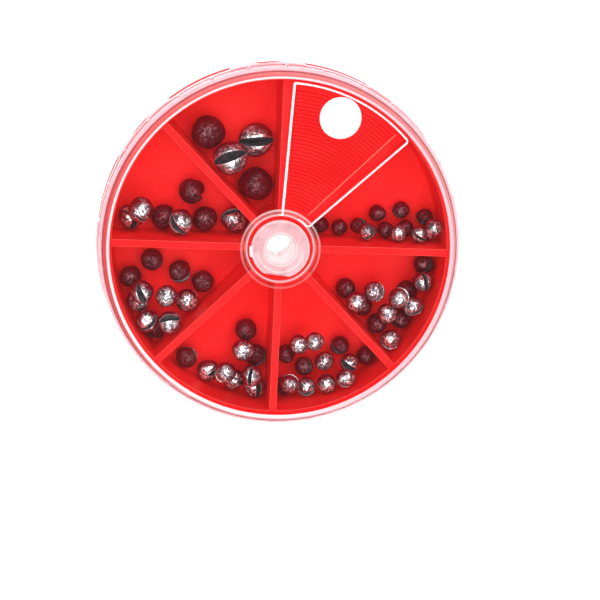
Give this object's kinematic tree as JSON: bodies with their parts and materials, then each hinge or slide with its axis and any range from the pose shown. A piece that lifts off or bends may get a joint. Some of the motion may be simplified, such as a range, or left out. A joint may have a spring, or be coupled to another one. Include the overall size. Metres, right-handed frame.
{
  "type": "split shot sinker dispenser box",
  "caption": "Round dispenser box of split-shot fishing sinkers: a divided moulded tray, a clear turning lid with a window, a hollow hub pin and loose split lead shots.",
  "frame": {"origin": "middle of the foot, on the surface that the box lies on", "axes": "+Z up along the hub pin; +X to the right and +Y up in the picture's face view, so the deck with the hang hole lies between 45 and 90 degrees from +X"},
  "size_m": [0.07, 0.07, 0.016],
  "materials": {
    "tray_red": "glossy moulded red plastic",
    "lid_clear": "clear moulded plastic with whitish edges",
    "pin_frosted": "frosted translucent plastic",
    "lead": "dull dented lead with bright rubbed tops"
  },
  "bodies": {
    "tray_body": {"tray": "tray_red", "hub_pin": "pin_frosted", "shot_a1": "lead", "shot_a2": "lead", "shot_a3": "lead", "shot_a4": "lead", "shot_b1": "lead", "shot_b2": "lead", "shot_b3": "lead", "shot_b4": "lead", "shot_b5": "lead", "shot_b6": "lead", "shot_b7": "lead", "shot_c1": "lead", "shot_c2": "lead", "shot_c3": "lead", "shot_c4": "lead", "shot_c5": "lead", "shot_c6": "lead", "shot_c7": "lead", "shot_c8": "lead", "shot_c9": "lead", "shot_c10": "lead", "shot_c11": "lead", "shot_d1": "lead", "shot_d2": "lead", "shot_d3": "lead", "shot_d4": "lead", "shot_d5": "lead", "shot_d6": "lead", "shot_d7": "lead", "shot_d8": "lead", "shot_d9": "lead", "shot_e1": "lead", "shot_e2": "lead", "shot_e3": "lead", "shot_e4": "lead", "shot_e5": "lead", "shot_e6": "lead", "shot_e7": "lead", "shot_e8": "lead", "shot_e9": "lead", "shot_e10": "lead", "shot_e11": "lead", "shot_e12": "lead", "shot_e13": "lead", "shots_f": "lead", "shots_g": "lead"},
    "lid_body": {"lid": "lid_clear"}
  },
  "joints": [
    {"name": "lid_turn", "type": "hinge", "parent": "tray_body", "child": "lid_body", "pos_m": [0, 0, 0.0147], "axis": [0, 0, 1], "continuous": true}
  ]
}
